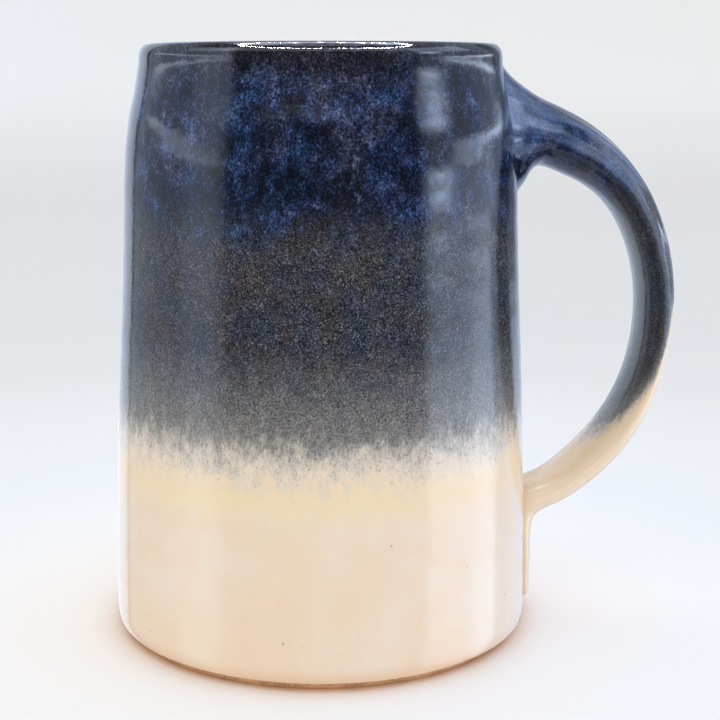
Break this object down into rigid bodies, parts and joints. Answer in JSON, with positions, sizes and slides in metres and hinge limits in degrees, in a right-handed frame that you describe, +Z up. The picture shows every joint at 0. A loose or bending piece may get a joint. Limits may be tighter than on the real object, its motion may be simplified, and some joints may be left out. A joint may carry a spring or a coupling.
{
  "type": "beer stein",
  "caption": "Wheel-thrown stoneware stein with a pulled strap handle, tapered wall and cobalt, slate and cream layered glazes; it stands on a trimmed foot ring.",
  "frame": {"origin": "centre of the foot ring, on the table", "axes": "+Z up along the axis of the thrown body, +X towards the handle, +Y across the handle"},
  "size_m": [0.1373, 0.1011, 0.1391],
  "materials": {
    "bare_stoneware": "unglazed, fine grit",
    "cream_glaze": "glossy, fine iron specks",
    "cream_liner_glaze": "glossy, fine iron specks",
    "slate_glaze": "glossy, fine speckle, feathered lower edge",
    "cobalt_glaze": "glossy, mottled"
  },
  "bodies": {
    "root": {"thrown_body": "bare_stoneware", "pulled_handle": "bare_stoneware", "upper_slip_joint": "bare_stoneware", "lower_slip_joint": "bare_stoneware", "liner_glaze": "cream_liner_glaze", "body_glaze_blue": "cobalt_glaze", "body_glaze_grey": "slate_glaze", "body_glaze_cream": "cream_glaze", "handle_glaze_blue": "cobalt_glaze", "handle_glaze_grey": "slate_glaze", "handle_glaze_cream": "cream_glaze"}
  },
  "joints": []
}
